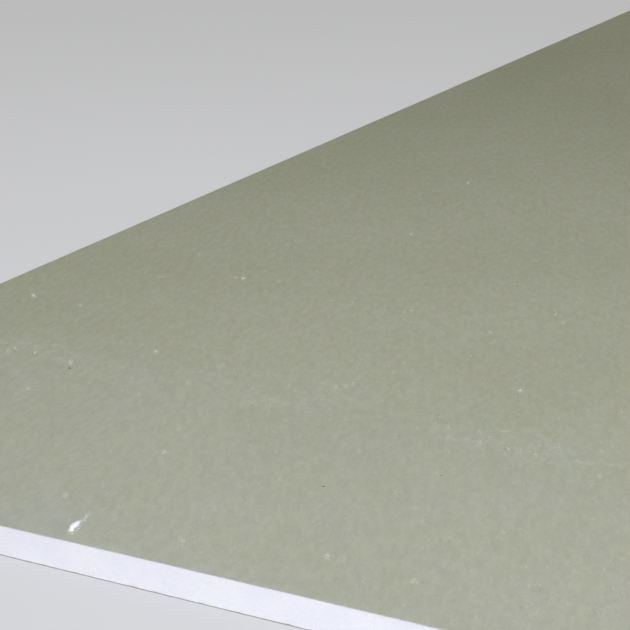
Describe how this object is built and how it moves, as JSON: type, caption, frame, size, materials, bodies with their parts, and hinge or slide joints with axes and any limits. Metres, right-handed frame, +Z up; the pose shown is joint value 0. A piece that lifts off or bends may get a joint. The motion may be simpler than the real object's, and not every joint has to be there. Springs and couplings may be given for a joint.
{
  "type": "drywall sheet",
  "caption": "Sheet of drywall with tapered, paper-wrapped long edges and bare gypsum at its cut ends, for lining walls and ceilings.",
  "frame": {"origin": "centre of the sheet's back face, on the surface that it lies on", "axes": "+Y along the sheet's length, parallel to its tapered long edges; +X across its width; +Z up, out of its face"},
  "size_m": [1.2192, 2.4384, 0.0127],
  "materials": {
    "gypsum": "matte",
    "face_paper": "matte",
    "back_paper": "matte"
  },
  "bodies": {
    "root": {"gypsum_core": "gypsum", "face_paper": "face_paper", "back_paper": "back_paper"}
  },
  "joints": []
}
